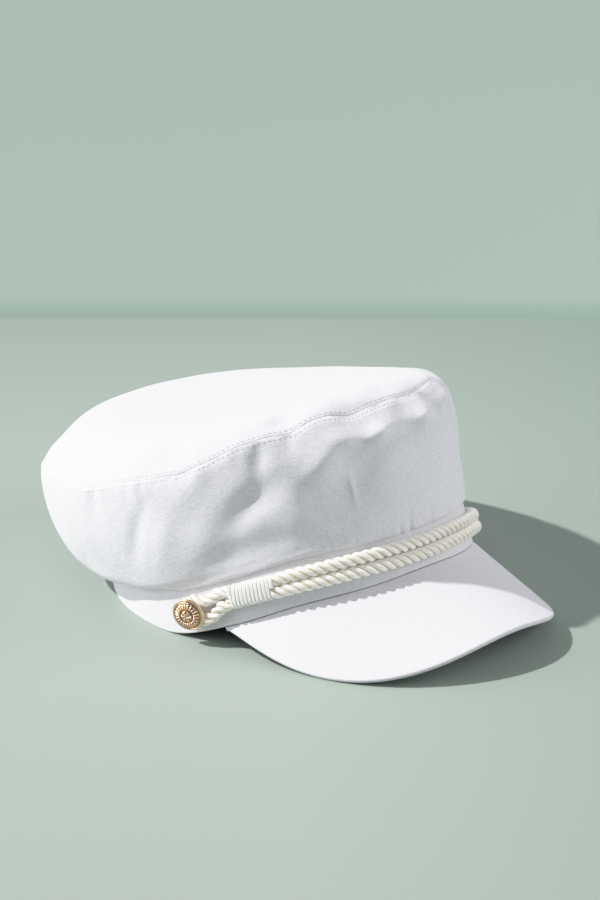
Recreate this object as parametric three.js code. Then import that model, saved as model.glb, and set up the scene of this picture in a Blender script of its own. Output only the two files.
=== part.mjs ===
// Fisherman cap: a soft cotton crown on an upright band, with a short curved peak, a doubled twisted rope
// across the front and a domed metal button at each side. Millimetres, +Z up.
// The cap stands on its own hem and the points of its peak. The peak faces -Y, the wearer's right is -X.
import * as THREE from 'three';
import { mergeVertices } from 'three/addons/utils/BufferGeometryUtils.js';

// Driving dimensions
const HEAD_Y = 5.8;            // where the middle of the head opening lies in the cap's frame
const CROWN_Y = 31.4;          // how far behind that middle the crown's top is centred
const CROWN_WALL = 2;
const BAND_WALL = 2.4;
const PEAK_THICKNESS = 2.6;
const SEAT = 0.3;              // gap between pieces that touch
const SEGMENTS = 80;           // facets round the head

const table = (columns, rows) => rows
  .map((row) => Object.fromEntries(columns.map((name, k) => [name, row[k]])));

// The cap's outline, one row each 20 degrees from the middle of the front round to the middle of the back.
// Radii are from the axis of the head opening for the hem and band, and from the crown's own for the seam.
// puff and sag pull the crown's side out and down where it leaves the band; shoulderOut and shoulderDown
// do the same where it reaches the top seam. ropeHeight is the rope's middle above the hem.
const ROW_STEP = 20;
const OUTLINE = table(['hemRadius', 'hemHeight', 'bandHeight', 'bandLean', 'puff', 'sag',
  'shoulderOut', 'shoulderDown', 'seamRadius', 'seamHeight', 'ropeHeight'], [
  [95.2, 34.0, 18.5, 8.0, 2.5, -13.5, 6.0, 15.0, 101.3, 112.0, 10.4],
  [95.4, 31.0, 20.5, 7.5, 2.0, -11.0, 6.0, 16.0, 101.5, 111.8, 12.2],
  [94.1, 24.5, 23.0, 6.0, 2.0, -8.0, 5.5, 18.5, 102.4, 101.6, 13.1],
  [92.4, 12.0, 24.5, 4.0, 2.0, -3.0, 5.5, 20.5, 103.6, 85.3, 14.9],
  [91.0, 1.0, 24.0, 2.0, 2.5, 4.0, 5.5, 22.5, 104.5, 73.3, 11.0],
  [90.3, 0.0, 23.0, 1.0, 6.5, 19.0, 5.5, 24.0, 105.0, 65.0, 11.0],
  [90.6, 0.0, 22.5, 0.5, 13.5, 28.0, 6.0, 24.0, 105.3, 60.7, 11.0],
  [91.5, 0.0, 22.5, 0.0, 20.5, 23.0, 6.0, 23.5, 105.7, 57.5, 11.0],
  [92.1, 0.0, 23.0, 0.0, 24.5, 13.0, 6.5, 22.0, 106.0, 55.8, 11.0],
  [92.2, 0.0, 23.5, 0.0, 27.0, 5.0, 7.0, 21.0, 106.2, 55.5, 11.0],
]);

// The top seam waves up and down a little where the cloth is gathered into it. Angles are in degrees from
// the front, towards the wearer's left.
const WAVES = table(['angle', 'halfAngle', 'depth'], [
  [-158, 6.0, 0.9],
  [-133, 6.0, -1.1],
  [-110, 5.0, 1.0],
  [-91, 5.0, -1.3],
  [-75, 5.0, 0.8],
  [-60, 3.0, -1.2],
  [-46, 4.0, 0.9],
  [-31, 4.5, -2.6],
  [-14, 5.0, -2.9],
  [0, 4.5, 1.2],
  [21, 5.0, 2.6],
  [41, 5.0, -1.8],
  [58, 4.0, 0.9],
  [79, 5.0, -1.2],
  [98, 5.0, 1.0],
  [118, 6.0, -1.2],
  [140, 6.0, 0.9],
  [165, 6.0, -1.0],
]);

// Folds of the crown's side. level runs from 0 at the band to 1 at the seam; slant is degrees of turn from
// band to seam; depth is outwards.
const FOLDS = table(['angle', 'level', 'halfAngle', 'halfLevel', 'slant', 'depth'], [
  [-171, 0.82, 6.0, 0.15, 4, 1.2],
  [-146, 0.8, 5.0, 0.16, -6, -1.5],
  [-112, 0.78, 5.0, 0.18, 8, -1.4],
  [-104, 0.32, 9.0, 0.12, 0, 1.4],
  [-88, 0.88, 2.6, 0.13, 10, -0.9],
  [-88, 0.22, 12.0, 0.12, 0, 1.0],
  [-77, 0.66, 2.6, 0.18, 34, -1.1],
  [-70, 0.6, 3.8, 0.17, 28, 1.0],
  [-62, 0.42, 18.0, 0.24, 10, 2.8],
  [-58.0, 0.87, 4.5, 0.1, 10, 0.9],
  [-56, 0.37, 8, 0.15, 30, -2.5],
  [-38, 0.34, 7, 0.12, 10, 0.8],
  [-51, 0.45, 9.0, 0.16, 30, 1.2],
  [-50, 0.27, 11.0, 0.13, 0, -1.8],
  [-47, 0.58, 7, 0.13, 42, -3],
  [-40.3, 0.84, 2.5, 0.13, 8, -1.9],
  [-35.0, 0.55, 4.5, 0.23, 12, 1.4],
  [-31.5, 0.94, 2.0, 0.1, 8, -0.5],
  [-25.5, 0.67, 5.0, 0.1, 12, 3.4],
  [-21.5, 0.45, 8.0, 0.18, 10, -2.6],
  [-18.5, 0.46, 1.0, 0.12, 6, 0.6],
  [-18, 0.8, 4.0, 0.07, 0, 1.5],
  [-13, 0.62, 7.0, 0.1, 10, -2.6],
  [-8.5, 0.78, 3.4, 0.07, 8, 3.4],
  [0, 0.78, 32.0, 0.15, 0, 6.4],
  [0.5, 0.86, 2.8, 0.1, 0, -1.1],
  [4, 0.55, 12.0, 0.17, 0, -1.4],
  [7, 0.79, 3.2, 0.08, 4, 3.2],
  [13.5, 0.86, 1.8, 0.13, -17, -1.6],
  [22, 0.83, 5.0, 0.08, 0, 2.4],
  [33, 0.86, 5.0, 0.12, 0, -1.2],
  [38, 0.6, 5.0, 0.18, -24, -1.6],
  [54, 0.8, 5.0, 0.14, -20, 1.6],
  [76, 0.8, 4.5, 0.16, -12, -1.7],
  [104, 0.82, 5.0, 0.15, -8, -1.5],
  [133, 0.78, 5.5, 0.18, 6, -1.5],
  [160, 0.8, 5.0, 0.15, 0, -1.4],
]);

// Shallow dents of the top, beside the seam. level runs from 0 at the middle to 1 at the seam.
const DENTS = table(['angle', 'level', 'halfAngle', 'halfLevel', 'depth'], [
  [-86, 0.95, 5, 0.05, -1.4],
  [-64, 0.93, 5, 0.06, -1.6],
  [-33, 0.95, 5, 0.05, -1.8],
  [1, 0.93, 5, 0.06, -1.8],
  [35, 0.93, 6, 0.07, -1.6],
  [120, 0.92, 6, 0.07, -1.4],
  [-140, 0.92, 6, 0.07, -1.4],
]);

// The top panel: its middle, its fall from front to back, how far its front and back sweep up from that,
// and how square its shoulders are.
const TOP = { middle: 93, tilt: 0.188, sweep: 12.8, sweepReach: 100, square: 5.2, frontSquare: 7.2 };

// The peak's lines fan out less than the band turns, and slope down more towards its corners.
const PEAK = {
  halfAngle: 62.6, length: 57.2, minLength: 1.6, bluntness: 3.76, rounding: 1.2, turn: 0.34,
  slope: 0.258, cornerSlope: 0.94, cornerEase: 0.76,
};

const ROPE = {
  radius: 2.6, spacing: 5.6, boundRadius: 2.05, boundSpacing: 4.5, openingTurn: 5, leftDrop: 2.2,
  sides: 8, steps: 100,
};
const BINDING = { from: 47.6, to: 61.2, mouth: 3, wall: 1.05, height: 11.4, points: 20, slices: 6 };
const BUTTON = {
  angle: 73.4, facing: 68, height: 12.6, standOff: 0.45, shank: 2.6, back: 6.7, radius: 8.3, rim: 0.5,
  rise: 4.2, sides: 20,
};

const RADIAN = Math.PI / 180;
const smooth = (x) => {
  const t = THREE.MathUtils.clamp(x, 0, 1);
  return t * t * (3 - 2 * t);
};

// A column's value at any angle: a Catmull-Rom curve through the rows, the same on both sides.
function at(column, degrees) {
  const last = OUTLINE.length - 1;
  const value = (row) => OUTLINE[last - Math.abs(last - Math.abs(row))][column];
  const place = Math.abs(degrees) / ROW_STEP;
  const row = Math.min(Math.floor(place), last - 1);
  const t = place - row;
  const [a, b, c, d] = [row - 1, row, row + 1, row + 2].map(value);
  return b + 0.5 * t * (c - a + t * (2 * a - 5 * b + 4 * c - d + t * (3 * (b - c) + d - a)));
}

// The direction away from the head's axis at an angle from the front.
const outward = (degrees) => new THREE.Vector3(Math.sin(degrees * RADIAN), -Math.cos(degrees * RADIAN), 0);
const UP = new THREE.Vector3(0, 0, 1);

const polar = (radius, degrees, z, centreY = 0) => outward(degrees).multiplyScalar(radius)
  .add(new THREE.Vector3(0, centreY, z));

const hemHeight = (degrees) => Math.max(0, at('hemHeight', degrees));

// A point on the band's outer face, some height above the hem and some way off the face.
function onBand(degrees, height, off = 0) {
  const lean = at('bandLean', degrees) * height / at('bandHeight', degrees);
  return polar(at('hemRadius', degrees) - lean + off, degrees, hemHeight(degrees) + height);
}

// The sum of soft mounds and hollows at one place on a surface. A mound without a level runs all the way.
function relief(mounds, angle, level = 0) {
  return mounds.reduce((sum, mound) => {
    const rise = level - (mound.level ?? level);
    const away = angle - mound.angle - (mound.slant ?? 0) * rise;
    const turn = (((away + 180) % 360) + 360) % 360 - 180;
    const fall = (turn / mound.halfAngle) ** 2 + (rise / (mound.halfLevel ?? 1)) ** 2;
    return sum + mound.depth * Math.exp(-fall);
  }, 0);
}

// A point on the top seam.
const seam = (degrees) => polar(at('seamRadius', degrees), degrees,
  at('seamHeight', degrees) + relief(WAVES, degrees), CROWN_Y);

// The outer face of the crown's side, without its folds: a cubic curve from the band to the seam. It ends
// below the top panel's edge.
function plainSide(degrees, level) {
  const out = outward(degrees);
  const below = CROWN_WALL + SEAT;
  const foot = onBand(degrees, at('bandHeight', degrees)).addScaledVector(UP, SEAT);
  const head = seam(degrees).addScaledVector(UP, -below);
  const low = foot.clone().addScaledVector(out, at('puff', degrees))
    .addScaledVector(UP, -at('sag', degrees));
  const high = head.clone().addScaledVector(out, at('shoulderOut', degrees))
    .addScaledVector(UP, below - at('shoulderDown', degrees));
  return new THREE.CubicBezierCurve3(foot, low, high, head).getPoint(level);
}

// The outer face of the top panel, without its dents.
function plainTop(degrees, reach) {
  const rim = seam(degrees);
  const sheet = (back) => TOP.middle - TOP.tilt * back + TOP.sweep * (back / TOP.sweepReach) ** 2;
  const drop = rim.z - sheet(rim.y - CROWN_Y);
  const square = TOP.square + TOP.frontSquare * (1 + Math.cos(degrees * RADIAN)) / 2;
  const back = (rim.y - CROWN_Y) * reach;
  return new THREE.Vector3(rim.x * reach, CROWN_Y + back, sheet(back) + drop * reach ** square);
}

// The outward normal of a surface given by angle and level, from its slopes.
function normalOf(surface, degrees, level) {
  const turn = 1;
  const step = 0.004;
  const round = surface(degrees + turn, level).sub(surface(degrees - turn, level));
  const rise = surface(degrees, Math.min(level + step, 1)).sub(surface(degrees, Math.max(level - step, 0)));
  return round.cross(rise).normalize();
}

// Merges equal points, drops faces that this closes, and turns the faces outwards.
function solid(points, faces) {
  const same = 1e-4;
  const soup = new THREE.BufferGeometry();
  soup.setAttribute('position', new THREE.Float32BufferAttribute(points.flatMap((p) => p.toArray()), 3));
  soup.setIndex(faces.flat());
  const merged = mergeVertices(soup, same);
  const index = merged.getIndex().array;
  const place = (k) => new THREE.Vector3().fromBufferAttribute(merged.getAttribute('position'), k);
  const kept = [];
  let volume = 0;
  for (let k = 0; k < index.length; k += 3) {
    const [a, b, c] = index.slice(k, k + 3);
    if (a !== b && b !== c && c !== a) {
      kept.push([a, b, c]);
      volume += place(a).dot(place(b).cross(place(c)));
    }
  }
  merged.setIndex(kept.flatMap(([a, b, c]) => (volume > 0 ? [a, b, c] : [a, c, b])));
  merged.computeVertexNormals();
  return merged;
}

// A solid lofted through sections, each a closed outline of the same number of points. The sections go
// round in a ring, or end in caps that join the outline's first half to its second.
function loft(sections, ring) {
  const size = sections[0].length;
  const faces = [];
  const quad = (a, b, c, d) => faces.push([a, b, c], [a, c, d]);
  const spans = ring ? sections.length : sections.length - 1;
  for (let s = 0; s < spans; s += 1) {
    const here = s * size;
    const next = ((s + 1) % sections.length) * size;
    for (let k = 0; k < size; k += 1) {
      const after = (k + 1) % size;
      quad(here + k, next + k, next + after, here + after);
    }
  }
  if (!ring) {
    const end = (sections.length - 1) * size;
    for (let k = 0; k < size / 2 - 1; k += 1) {
      const back = size - 1 - k;
      quad(k, k + 1, back - 1, back);
      quad(end + back, end + back - 1, end + k + 1, end + k);
    }
  }
  return solid(sections.flat(), faces);
}

const angles = Array.from({ length: SEGMENTS }, (_, k) => -180 + 360 * k / SEGMENTS);
const levels = (count) => Array.from({ length: count + 1 }, (_, k) => k / count);

function crownSide() {
  const flatFoot = 0.1;          // the folds die out over these shares of the side
  const flatSeam = 0.06;
  const square = 0.12;           // near both edges the wall turns to stand square on its neighbour
  const fold = (degrees, level) => relief(FOLDS, degrees, level)
    * smooth(level / flatFoot) * smooth((1 - level) / flatSeam);
  const face = (degrees, level) => plainSide(degrees, level)
    .addScaledVector(normalOf(plainSide, degrees, level), fold(degrees, level));
  const lining = (degrees, level) => {
    const inward = outward(degrees).negate();
    const free = smooth(Math.min(level, 1 - level) / square);
    const through = normalOf(plainSide, degrees, level).negate().multiplyScalar(free)
      .addScaledVector(inward, 1 - free).normalize();
    return face(degrees, level).addScaledVector(through, CROWN_WALL);
  };
  const section = (degrees) => [
    ...levels(14).map((level) => face(degrees, level)),
    ...levels(9).reverse().map((level) => lining(degrees, level)),
  ];
  return loft(angles.map(section), true);
}

function crownTop() {
  const flatSeam = 0.05;
  const square = 0.1;
  const face = (degrees, reach) => plainTop(degrees, reach)
    .addScaledVector(UP, relief(DENTS, degrees, reach) * smooth((1 - reach) / flatSeam));
  const lining = (degrees, reach) => {
    const free = smooth(Math.min(reach, 1 - reach) / square);
    const through = normalOf(plainTop, degrees, reach).multiplyScalar(free).addScaledVector(UP, free - 1);
    return face(degrees, reach).addScaledVector(through.normalize(), CROWN_WALL);
  };
  const outer = [0, 0.3, 0.55, 0.72, 0.83, 0.9, 0.95, 0.985, 1];
  const inner = [0.985, 0.93, 0.86, 0.7, 0.4, 0];
  const section = (degrees) => [
    ...outer.map((reach) => face(degrees, reach)),
    face(degrees, 1).addScaledVector(UP, -CROWN_WALL),
    ...inner.map((reach) => lining(degrees, reach)),
  ];
  return loft(angles.map(section), true);
}

function band() {
  const section = (degrees) => {
    const steps = levels(3).map((level) => level * at('bandHeight', degrees));
    return [
      ...steps.map((height) => onBand(degrees, height)),
      ...steps.reverse().map((height) => onBand(degrees, height, -BAND_WALL)),
    ];
  };
  return loft(angles.map(section), true);
}

// The peak: a stiff curved sheet of straight lines that fan out from under the band's front edge. Its root
// runs inwards below the band's wall.
function peak() {
  const upper = (degrees, reach) => {
    const share = degrees / PEAK.halfAngle;
    const fullness = Math.max(0, 1 - Math.abs(share) ** PEAK.bluntness) ** PEAK.rounding;
    const length = Math.max(PEAK.minLength, PEAK.length * fullness);
    const slope = PEAK.slope + PEAK.cornerSlope * share ** 2 - PEAK.cornerEase * share ** 4;
    const along = outward(PEAK.turn * degrees).multiplyScalar(Math.cos(slope))
      .addScaledVector(UP, -Math.sin(slope));
    return onBand(degrees, -SEAT).addScaledVector(along, length * reach);
  };
  const justInside = 0.999;
  const under = (degrees, reach) => upper(degrees, reach)
    .addScaledVector(normalOf((a, r) => upper(a * justInside, r), degrees, reach), PEAK_THICKNESS);
  const root = (degrees, depth) => onBand(degrees, -SEAT - depth, SEAT - BAND_WALL);
  const section = (degrees) => [
    root(degrees, 0),
    ...levels(4).map((reach) => upper(degrees, reach)),
    ...levels(4).reverse().map((reach) => under(degrees, reach)),
    root(degrees, PEAK_THICKNESS),
  ];
  const spread = levels(36).map((share) => PEAK.halfAngle * Math.sin((share - 0.5) * Math.PI));
  return loft(spread.map(section), false);
}

// How far an angle lies on the way from the binding, 0, to the button, 1.
const toButton = (degrees) => {
  const start = BINDING.to + BINDING.mouth;
  const way = (Math.abs(degrees) - start) / (BUTTON.angle - start);
  return Math.sin(THREE.MathUtils.clamp(way, 0, 1) * Math.PI / 2);
};

// The doubled rope at an angle: its strands' radius, how far each lies from the middle line, and how far
// that line stands off the band. The bindings squeeze the strands together, and the loops open them.
const BOUND_OFF = ROPE.boundRadius + BINDING.wall + 2 * SEAT;
const LOOP_RADIUS = BUTTON.shank + SEAT + ROPE.radius;
function strand(degrees) {
  const free = smooth((BINDING.from - BINDING.mouth - Math.abs(degrees)) / ROPE.openingTurn);
  const opened = toButton(degrees);
  const bound = ROPE.boundSpacing / 2;
  return {
    radius: THREE.MathUtils.lerp(ROPE.boundRadius, ROPE.radius, Math.max(free, smooth(opened))),
    offset: bound + (ROPE.spacing / 2 - bound) * free + (LOOP_RADIUS - bound) * opened,
    off: THREE.MathUtils.lerp(BOUND_OFF, ROPE.radius + SEAT, Math.max(free, opened)),
  };
}

// The height of the button's axis above the hem at another angle.
const buttonLevel = (degrees) => BUTTON.height + hemHeight(BUTTON.angle) - hemHeight(degrees);

// The middle line of the doubled rope, above the hem. It hangs a little lower on the wearer's left.
const ropeMiddle = (degrees) => {
  const line = at('ropeHeight', Math.min(Math.abs(degrees), BINDING.to))
    - ROPE.leftDrop * smooth(degrees / BINDING.from);
  return THREE.MathUtils.lerp(line, buttonLevel(degrees), toButton(degrees));
};

// A point beside the rope's middle line: some way square across it, and some way off the band.
function byRope(degrees, across, off) {
  const step = 1;
  const level = (angle) => hemHeight(angle) + ropeMiddle(angle);
  const run = 2 * step * RADIAN * at('hemRadius', degrees);
  const slope = (level(degrees + step) - level(degrees - step)) / run;
  return onBand(degrees, ropeMiddle(degrees) + across * Math.hypot(1, slope), off);
}

// One closed loop: across the front above, round the left button, back below, and round the right one.
function ropePoints() {
  const run = levels(60).map((share) => BUTTON.angle * (2 * share - 1));
  const across = (side) => run.map((degrees) => {
    const { offset, off } = strand(degrees);
    return byRope(degrees, side * offset, off);
  });
  const round = (side) => levels(8).slice(1, -1).map((share) => {
    const turn = LOOP_RADIUS * Math.sin(share * Math.PI) / at('hemRadius', BUTTON.angle) / RADIAN;
    const degrees = side * (BUTTON.angle + turn);
    const height = buttonLevel(degrees) + side * LOOP_RADIUS * Math.cos(share * Math.PI);
    return onBand(degrees, height, strand(BUTTON.angle).off);
  });
  return [...across(1), ...round(1), ...across(-1).reverse(), ...round(-1)];
}

function ropeLoop() {
  const path = new THREE.CatmullRomCurve3(ropePoints(), true, 'centripetal');
  const section = (share) => {
    const centre = path.getPointAt(share);
    const tangent = path.getTangentAt(share);
    const degrees = Math.atan2(centre.x, -centre.y) / RADIAN;
    const out = outward(degrees).projectOnPlane(tangent).normalize();
    const across = tangent.clone().cross(out);
    const { radius } = strand(degrees);
    return levels(ROPE.sides).slice(1).map((part) => centre.clone()
      .addScaledVector(out, radius * Math.cos(part * 2 * Math.PI))
      .addScaledVector(across, radius * Math.sin(part * 2 * Math.PI)));
  };
  return loft(levels(ROPE.steps).slice(1).map(section), true);
}

// The wound binding: a flat sleeve round both strands, curved with the band.
function ropeBinding(side) {
  const clear = ROPE.boundRadius + SEAT;
  const straight = BINDING.height / 2 - clear - BINDING.wall;
  const level = 1e-6;            // points less far up or down than this lie on the middle line
  const outline = (degrees, part, inner) => {
    const radius = inner ? clear : clear + BINDING.wall;
    const up = Math.sin(part * 2 * Math.PI);
    const height = radius * up + straight * (Math.abs(up) < level ? 0 : Math.sign(up));
    return byRope(degrees, height, BOUND_OFF + radius * Math.cos(part * 2 * Math.PI));
  };
  const run = levels(BINDING.slices)
    .map((share) => side * THREE.MathUtils.lerp(BINDING.from, BINDING.to, share));
  const section = (part) => [
    ...run.map((degrees) => outline(degrees, part, false)),
    ...[...run].reverse().map((degrees) => outline(degrees, part, true)),
  ];
  return loft(levels(BINDING.points).slice(1).map(section), true);
}

// A domed button: shank, flat back, rounded rim and a low dome, turned about its own axis.
function button() {
  const { radius, rim, shank, back, rise } = BUTTON;
  const dome = [0.85, 0.75, 0.5, 0.25, 0].map((share) => [radius * share, rise * Math.sqrt(1 - share ** 2)]);
  const head = [[radius - rim, 0], [radius, rim], [radius, 2 * rim], [radius - rim, 3 * rim], ...dome];
  const profile = [[0, -back], [shank, -back], [shank, 0], ...head]
    .map(([r, z]) => new THREE.Vector2(r, back + z));
  const lathe = new THREE.LatheGeometry(profile, BUTTON.sides);
  const place = lathe.getAttribute('position');
  const index = lathe.getIndex().array;
  const points = Array.from({ length: place.count })
    .map((_, k) => new THREE.Vector3().fromBufferAttribute(place, k));
  const faces = Array.from({ length: index.length / 3 }, (_, k) => [...index.slice(3 * k, 3 * k + 3)]);
  return solid(points, faces);
}

const cotton = { color: 0xf1f0f4, roughness: 0.95, metalness: 0 };
const cord = { color: 0xf0ebdd, roughness: 0.6, metalness: 0 };
const gilt = { color: 0xc79a5b, roughness: 0.3, metalness: 1 };

function piece(name, geometry, look) {
  const mesh = new THREE.Mesh(geometry, new THREE.MeshStandardMaterial(look));
  mesh.name = name;
  return mesh;
}

// The button stands on the band on its shank's foot, and faces a little further forward than the band.
function placedButton(name, side) {
  const mesh = piece(name, button(), gilt);
  mesh.position.copy(onBand(side * BUTTON.angle, BUTTON.height, BUTTON.standOff));
  mesh.quaternion.setFromUnitVectors(new THREE.Vector3(0, 1, 0), outward(side * BUTTON.facing));
  return mesh;
}

const group = new THREE.Group();
group.add(piece('crown_top', crownTop(), cotton));
group.add(piece('crown_side', crownSide(), cotton));
group.add(piece('band', band(), cotton));
group.add(piece('peak', peak(), cotton));
group.add(piece('rope_loop', ropeLoop(), cord));
group.add(piece('rope_binding_right', ropeBinding(-1), cord));
group.add(piece('rope_binding_left', ropeBinding(1), cord));
group.add(placedButton('button_right', -1));
group.add(placedButton('button_left', 1));
group.position.y = HEAD_Y;

export default group;
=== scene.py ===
"""A white cotton fisherman cap with a twisted rope trim and gilt side buttons, on a sage green floor."""
import math

import bmesh
import bpy
import numpy as np
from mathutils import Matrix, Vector


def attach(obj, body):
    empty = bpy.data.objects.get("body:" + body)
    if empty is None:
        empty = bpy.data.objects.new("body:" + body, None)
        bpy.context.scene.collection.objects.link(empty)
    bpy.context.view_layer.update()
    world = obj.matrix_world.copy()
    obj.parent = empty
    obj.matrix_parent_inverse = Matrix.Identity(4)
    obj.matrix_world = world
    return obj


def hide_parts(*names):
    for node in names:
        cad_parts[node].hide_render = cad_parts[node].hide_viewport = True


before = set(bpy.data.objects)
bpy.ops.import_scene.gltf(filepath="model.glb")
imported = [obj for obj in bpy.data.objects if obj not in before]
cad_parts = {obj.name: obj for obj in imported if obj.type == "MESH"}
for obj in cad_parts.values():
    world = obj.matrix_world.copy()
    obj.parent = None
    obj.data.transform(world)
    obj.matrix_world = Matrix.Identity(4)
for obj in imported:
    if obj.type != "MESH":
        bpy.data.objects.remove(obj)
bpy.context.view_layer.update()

# Shapes are worked out in millimetres and go into Blender in metres. Angles are in degrees round the
# head, from the front towards the wearer's left; the peak faces -Y.
MM = 0.001
UP = np.array([0.0, 0.0, 1.0])

# The cap's own sizes, as in its CAD source
HEAD_Y = 5.8                   # where the middle of the head opening lies
CROWN_Y = 31.4                 # how far behind it the crown's top is centred
CROWN_WALL = 2.0
BAND_WALL = 2.4
PEAK_THICKNESS = 2.6
SEAT = 0.3                     # gap between pieces that touch

# A row for every ROW_STEP degrees, from the front to the back
ROW_STEP = 20
COLUMNS = ["hem_radius", "hem_height", "band_height", "band_lean", "puff", "sag",
           "shoulder_out", "shoulder_down", "seam_radius", "seam_height", "rope_height"]
OUTLINE = np.array([
    [95.2, 34.0, 18.5, 8.0, 2.5, -13.5, 6.0, 15.0, 101.3, 112.0, 10.4],
    [95.4, 31.0, 20.5, 7.5, 2.0, -11.0, 6.0, 16.0, 101.5, 111.8, 12.2],
    [94.1, 24.5, 23.0, 6.0, 2.0, -8.0, 5.5, 18.5, 102.4, 101.6, 13.1],
    [92.4, 12.0, 24.5, 4.0, 2.0, -3.0, 5.5, 20.5, 103.6, 85.3, 14.9],
    [91.0, 1.0, 24.0, 2.0, 2.5, 4.0, 5.5, 22.5, 104.5, 73.3, 11.0],
    [90.3, 0.0, 23.0, 1.0, 6.5, 19.0, 5.5, 24.0, 105.0, 65.0, 11.0],
    [90.6, 0.0, 22.5, 0.5, 13.5, 28.0, 6.0, 24.0, 105.3, 60.7, 11.0],
    [91.5, 0.0, 22.5, 0.0, 20.5, 23.0, 6.0, 23.5, 105.7, 57.5, 11.0],
    [92.1, 0.0, 23.0, 0.0, 24.5, 13.0, 6.5, 22.0, 106.0, 55.8, 11.0],
    [92.2, 0.0, 23.5, 0.0, 27.0, 5.0, 7.0, 21.0, 106.2, 55.5, 11.0],
])
# angle, half angle, depth of the top seam's waves
WAVES = [
    (-158, 6.0, 0.9), (-133, 6.0, -1.1), (-110, 5.0, 1.0), (-91, 5.0, -1.3), (-75, 5.0, 0.8),
    (-60, 3.0, -1.2), (-46, 4.0, 0.9), (-31, 4.5, -2.6), (-14, 5.0, -2.9), (0, 4.5, 1.2),
    (21, 5.0, 2.6), (41, 5.0, -1.8), (58, 4.0, 0.9), (79, 5.0, -1.2), (98, 5.0, 1.0),
    (118, 6.0, -1.2), (140, 6.0, 0.9), (165, 6.0, -1.0),
]
# angle, level, half angle, half level, slant, depth of the side's folds; level goes from 0 at the band
# to 1 at the seam, and slant is how far a fold turns over that height
FOLDS = [
    (-171, 0.82, 6, 0.15, 4, 1.2), (-146, 0.8, 5, 0.16, -6, -1.5), (-112, 0.78, 5, 0.18, 8, -1.4),
    (-104, 0.32, 9, 0.12, 0, 1.4), (-88, 0.22, 12, 0.12, 0, 1), (-88, 0.88, 2.6, 0.13, 10, -0.9),
    (-77, 0.66, 2.6, 0.18, 34, -1.1), (-70, 0.6, 3.8, 0.17, 28, 1), (-62, 0.42, 18, 0.24, 10, 2.8),
    (-58, 0.87, 4.5, 0.1, 10, 0.9), (-56, 0.37, 8, 0.15, 30, -2.5), (-51, 0.45, 9, 0.16, 30, 1.2),
    (-50, 0.27, 11, 0.13, 0, -1.8), (-47, 0.58, 7, 0.13, 42, -3), (-40.3, 0.84, 2.5, 0.13, 8, -1.9),
    (-38, 0.34, 7, 0.12, 10, 0.8), (-35, 0.55, 4.5, 0.23, 12, 1.4), (-31.5, 0.94, 2, 0.1, 8, -0.5),
    (-25.5, 0.67, 5, 0.1, 12, 3.4), (-21.5, 0.45, 8, 0.18, 10, -2.6), (-18.5, 0.46, 1, 0.12, 6, 0.6),
    (-18, 0.8, 4, 0.07, 0, 1.5), (-13, 0.62, 7, 0.1, 10, -2.6), (-8.5, 0.78, 3.4, 0.07, 8, 3.4),
    (0, 0.78, 32, 0.15, 0, 6.4), (0.5, 0.86, 2.8, 0.1, 0, -1.1), (4, 0.55, 12, 0.17, 0, -1.4),
    (7, 0.79, 3.2, 0.08, 4, 3.2), (13.5, 0.86, 1.8, 0.13, -17, -1.6), (22, 0.83, 5, 0.08, 0, 2.4),
    (33, 0.86, 5, 0.12, 0, -1.2), (38, 0.6, 5, 0.18, -24, -1.6), (54, 0.8, 5, 0.14, -20, 1.6),
    (76, 0.8, 4.5, 0.16, -12, -1.7), (104, 0.82, 5, 0.15, -8, -1.5), (133, 0.78, 5.5, 0.18, 6, -1.5),
    (160, 0.8, 5, 0.15, 0, -1.4),
]
# angle, level, half angle, half level, slant, depth of the top's dents
DENTS = [
    (-86, 0.95, 5, 0.05, 0, -1.4), (-64, 0.93, 5, 0.06, 0, -1.6), (-33, 0.95, 5, 0.05, 0, -1.8),
    (1, 0.93, 5, 0.06, 0, -1.8), (35, 0.93, 6, 0.07, 0, -1.6), (120, 0.92, 6, 0.07, 0, -1.4),
    (-140, 0.92, 6, 0.07, 0, -1.4),
]
TOP = dict(middle=93.0, tilt=0.188, sweep=12.8, sweep_reach=100.0, square=5.2, front_square=7.2)
PEAK = dict(half_angle=62.6, length=57.2, min_length=0.25, bluntness=3.76, rounding=1.2, turn=0.34,
            slope=0.258, corner_slope=0.94, corner_ease=0.76)
ROPE = dict(radius=3.15, loop_radius=2.9, spacing=5.9, bound_wide=2.2, bound_thick=1.6, stand_off=0.05,
            left_drop=2.2, lay=14.4)
PRESSED = dict(share=0.2, over=20, until=40, fade=8)    # the rope is flatter left of the front
BINDING = dict(start=47.6, end=61.2, inside=1.6, mouth=2.5, height=11.5, cord_wide=0.93, cord_thick=0.85,
               turns=11.5, lean=0.105, last_lean=0.16, last=0.86)
BUTTON = dict(angle=73.4, facing=66.0, tilt=5.0, height=12.9, stand_off=0.45, shank=2.1, back=6.7,
              radius=8.3, rise=4.2)
LOOP_RADIUS = BUTTON["shank"] + ROPE["loop_radius"]     # of the rope's turn round a button

# Cloth and stitching
CROWN_RING = 105               # about the crown's radius, for the u of its cloth
BAND_RING = 92                 # the same of the band
ROPE_RING = 95                 # the same of the rope
SHOULDER = (0.6, 3.0)          # how far the side swells below its top seam, and how far down
FOOT = (0.7, 3.5)              # the same above the band
LIP = dict(out=1.1, blend=3.0, down=1.3, reach=1.8, turned=0.1)   # how the side hangs over the band
EDGE = 0.5                     # radius of a cloth edge that turns into a seam
BAND_EDGE = 0.7                # the same of the band
SEAM_CALM = 8.0                # how far from a seam the cloth is as uneven as elsewhere
STITCH = dict(pitch=2.6, length=2.0, radius=0.17, from_seam=1.8, rise=0.22, sunk=0.17, thin=0.55,
              sides=6)
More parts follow.
